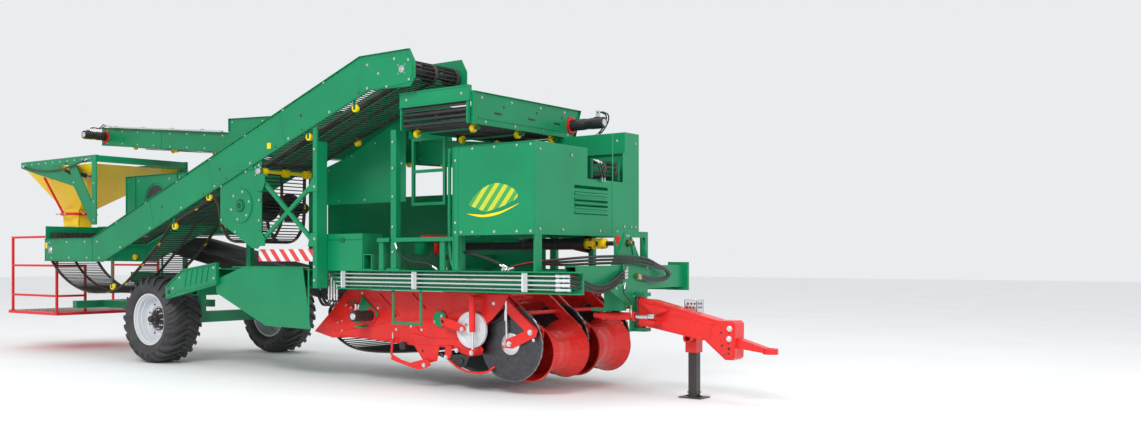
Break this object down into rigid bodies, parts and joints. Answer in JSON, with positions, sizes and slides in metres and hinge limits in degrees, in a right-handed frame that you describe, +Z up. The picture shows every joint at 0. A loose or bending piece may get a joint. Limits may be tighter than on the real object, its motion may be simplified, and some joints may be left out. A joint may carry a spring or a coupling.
{
  "type": "trailed potato harvester",
  "caption": "Trailed potato harvester: digger unit, sieving webs, side elevator, cross and filling conveyors, hopper over a railed bag platform, steered drawbar.",
  "frame": {"origin": "on the ground under the middle of the machine's bounding box", "axes": "+X forward along the machine to the drawbar's eye, +Y to the side away from the elevator, +Z up"},
  "size_m": [10.95, 2.5457, 3.3],
  "materials": {
    "green_paint": "gloss green enamel on sheet steel",
    "red_paint": "gloss red enamel on steel",
    "yellow_paint": "satin yellow enamel on sheet steel",
    "dark_steel": "satin black enamel on steel",
    "steel": "zinc-bright steel",
    "web_rubber": "matt black rubber-coated rods on belts",
    "tyre_rubber": "matt black tyre rubber",
    "rim_paint": "satin silver-white enamel",
    "board": "reflective red and white stripes"
  },
  "bodies": {
    "frame": {"near_chassis": "green_paint", "far_chassis": "green_paint", "near_rail": "green_paint", "far_rail_and_front_beam": "green_paint", "rear_cross_beam": "green_paint", "axle_beam": "green_paint", "tower_post": "green_paint", "hydraulic_pipes": "steel", "front_box": "green_paint", "far_box": "green_paint", "operator_platform": "green_paint", "guard_panel": "green_paint", "tool_box": "green_paint", "side_shield": "green_paint", "hazard_board": "board", "ribbed_arm": "green_paint", "elevator_near_plate": "green_paint", "elevator_far_plate": "green_paint", "elevator_side_frame": "green_paint", "elevator_web": "web_rubber", "elevator_return_web": "web_rubber", "cross_conveyor_frame": "green_paint", "cross_web": "web_rubber", "sieve_web": "web_rubber", "discharge_web": "web_rubber", "hopper_frame": "green_paint", "hopper_funnel": "yellow_paint", "bag_ring": "red_paint", "rear_housing": "green_paint", "headstock": "green_paint", "pto_gearbox": "red_paint"},
    "near_wheel": {"near_tyre": "tyre_rubber", "near_rim": "rim_paint"},
    "far_wheel": {"far_tyre": "tyre_rubber", "far_rim": "rim_paint"},
    "drawbar": {"drawbar": "red_paint"},
    "jack": {"jack_leg": "dark_steel"},
    "steering_barrel": {"steering_barrel": "red_paint"},
    "steering_rod": {"steering_rod": "steel"},
    "elevator_head": {"elevator_head_drum": "dark_steel"},
    "elevator_tail": {"elevator_tail_drum": "dark_steel"},
    "elevator_drive": {"elevator_drive_drum": "dark_steel"},
    "elevator_idler": {"elevator_idler_roller": "yellow_paint"},
    "filling_conveyor": {"filling_conveyor_frame": "green_paint", "filling_web": "web_rubber"},
    "gate": {"gate": "green_paint"},
    "bag_platform": {"bag_platform": "red_paint"},
    "digger": {"digger_near_plate": "red_paint", "digger_far_plate": "red_paint", "digger_share": "steel", "digger_web": "web_rubber"},
    "haulm_wheel": {"haulm_wheel": "rim_paint"},
    "near_yoke": {"near_roller_yoke": "red_paint"},
    "far_yoke": {"far_roller_yoke": "red_paint"},
    "near_roller": {"near_diabolo_roller": "red_paint"},
    "far_roller": {"far_diabolo_roller": "red_paint"},
    "near_disc": {"near_disc": "dark_steel"},
    "middle_disc": {"middle_disc": "dark_steel"},
    "far_disc": {"far_disc": "dark_steel"},
    "pto_shaft": {"pto_shaft": "dark_steel"}
  },
  "joints": [
    {"name": "near_wheel_spin", "type": "hinge", "parent": "frame", "child": "near_wheel", "pos_m": [-1.975, -0.9172, 0.535], "axis": [0, 1, 0], "continuous": true},
    {"name": "far_wheel_spin", "type": "hinge", "parent": "frame", "child": "far_wheel", "pos_m": [-1.975, 1.0228, 0.535], "axis": [0, 1, 0], "continuous": true},
    {"name": "drawbar_swing", "type": "hinge", "parent": "frame", "child": "drawbar", "pos_m": [4.165, 0.0528, 0.78], "axis": [0, 0, 1], "range_deg": [-15, 15]},
    {"name": "jack_slide", "type": "slide", "parent": "drawbar", "child": "jack", "axis": [0, 0, 1], "range_m": [0, 0.33]},
    {"name": "steering_barrel_pivot", "type": "hinge", "parent": "frame", "child": "steering_barrel", "pos_m": [3.825, -0.1872, 0.75], "axis": [0, 0, 1], "range_deg": [-5.4, 5.4]},
    {"name": "steering_rod_slide", "type": "slide", "parent": "steering_barrel", "child": "steering_rod", "axis": [0.9974, 0.0725, 0], "range_m": [-0.06, 0.06]},
    {"name": "elevator_head_spin", "type": "hinge", "parent": "frame", "child": "elevator_head", "pos_m": [2.295, -0.8472, 3.11], "axis": [0, 1, 0], "continuous": true},
    {"name": "elevator_tail_spin", "type": "hinge", "parent": "frame", "child": "elevator_tail", "pos_m": [-4.005, -0.8472, 1.4], "axis": [0, 1, 0], "continuous": true},
    {"name": "elevator_drive_spin", "type": "hinge", "parent": "frame", "child": "elevator_drive", "pos_m": [-0.085, -0.8472, 1.87], "axis": [0, 1, 0], "continuous": true},
    {"name": "elevator_idler_spin", "type": "hinge", "parent": "frame", "child": "elevator_idler", "pos_m": [0.205, -0.8472, 2.235], "axis": [0, 1, 0], "continuous": true},
    {"name": "conveyor_lift", "type": "hinge", "parent": "frame", "child": "filling_conveyor", "pos_m": [2.325, 0.2278, 2.36], "axis": [0, 1, 0], "range_deg": [0, 4]},
    {"name": "gate_swing", "type": "hinge", "parent": "frame", "child": "gate", "pos_m": [2.455, -0.7472, 2.15], "axis": [0, 0, 1], "range_deg": [0, 80]},
    {"name": "platform_tilt", "type": "hinge", "parent": "frame", "child": "bag_platform", "pos_m": [-4.175, -0.1672, 0.52], "axis": [0, -1, 0], "range_deg": [0, 18]},
    {"name": "digger_lift", "type": "hinge", "parent": "frame", "child": "digger", "pos_m": [0.825, 0.0528, 0.62], "axis": [0, -1, 0], "range_deg": [0, 8]},
    {"name": "haulm_wheel_spin", "type": "hinge", "parent": "digger", "child": "haulm_wheel", "pos_m": [2.825, -0.8152, 0.6], "axis": [0, 1, 0], "continuous": true},
    {"name": "near_yoke_lift", "type": "hinge", "parent": "digger", "child": "near_yoke", "pos_m": [2.975, -0.3472, 0.92], "axis": [0, -1, 0], "range_deg": [0, 8]},
    {"name": "far_yoke_lift", "type": "hinge", "parent": "digger", "child": "far_yoke", "pos_m": [2.975, 0.4528, 0.92], "axis": [0, -1, 0], "range_deg": [0, 8]},
    {"name": "near_roller_spin", "type": "hinge", "parent": "near_yoke", "child": "near_roller", "pos_m": [3.365, -0.3472, 0.405], "axis": [0, 1, 0], "continuous": true},
    {"name": "far_roller_spin", "type": "hinge", "parent": "far_yoke", "child": "far_roller", "pos_m": [3.365, 0.4528, 0.405], "axis": [0, 1, 0], "continuous": true},
    {"name": "near_disc_spin", "type": "hinge", "parent": "near_yoke", "child": "near_disc", "pos_m": [3.225, -0.7432, 0.48], "axis": [0, 1, 0], "continuous": true},
    {"name": "middle_disc_spin", "type": "hinge", "parent": "near_yoke", "child": "middle_disc", "pos_m": [3.225, 0.0528, 0.48], "axis": [0, 1, 0], "continuous": true},
    {"name": "far_disc_spin", "type": "hinge", "parent": "far_yoke", "child": "far_disc", "pos_m": [3.225, 0.8488, 0.48], "axis": [0, 1, 0], "continuous": true},
    {"name": "pto_spin", "type": "hinge", "parent": "frame", "child": "pto_shaft", "pos_m": [3.025, 0.0528, 1.43], "axis": [1, 0, 0], "continuous": true}
  ],
  "couplings": [
    {"joint": "steering_barrel_pivot", "follows": "drawbar_swing", "ratio": 0.351},
    {"joint": "steering_rod_slide", "follows": "drawbar_swing", "m_per_rad": 0.214},
    {"joint": "elevator_tail_spin", "follows": "elevator_head_spin", "ratio": 1.25},
    {"joint": "elevator_drive_spin", "follows": "elevator_head_spin", "ratio": 0.5714},
    {"joint": "elevator_idler_spin", "follows": "elevator_head_spin", "ratio": -1.6667}
  ]
}
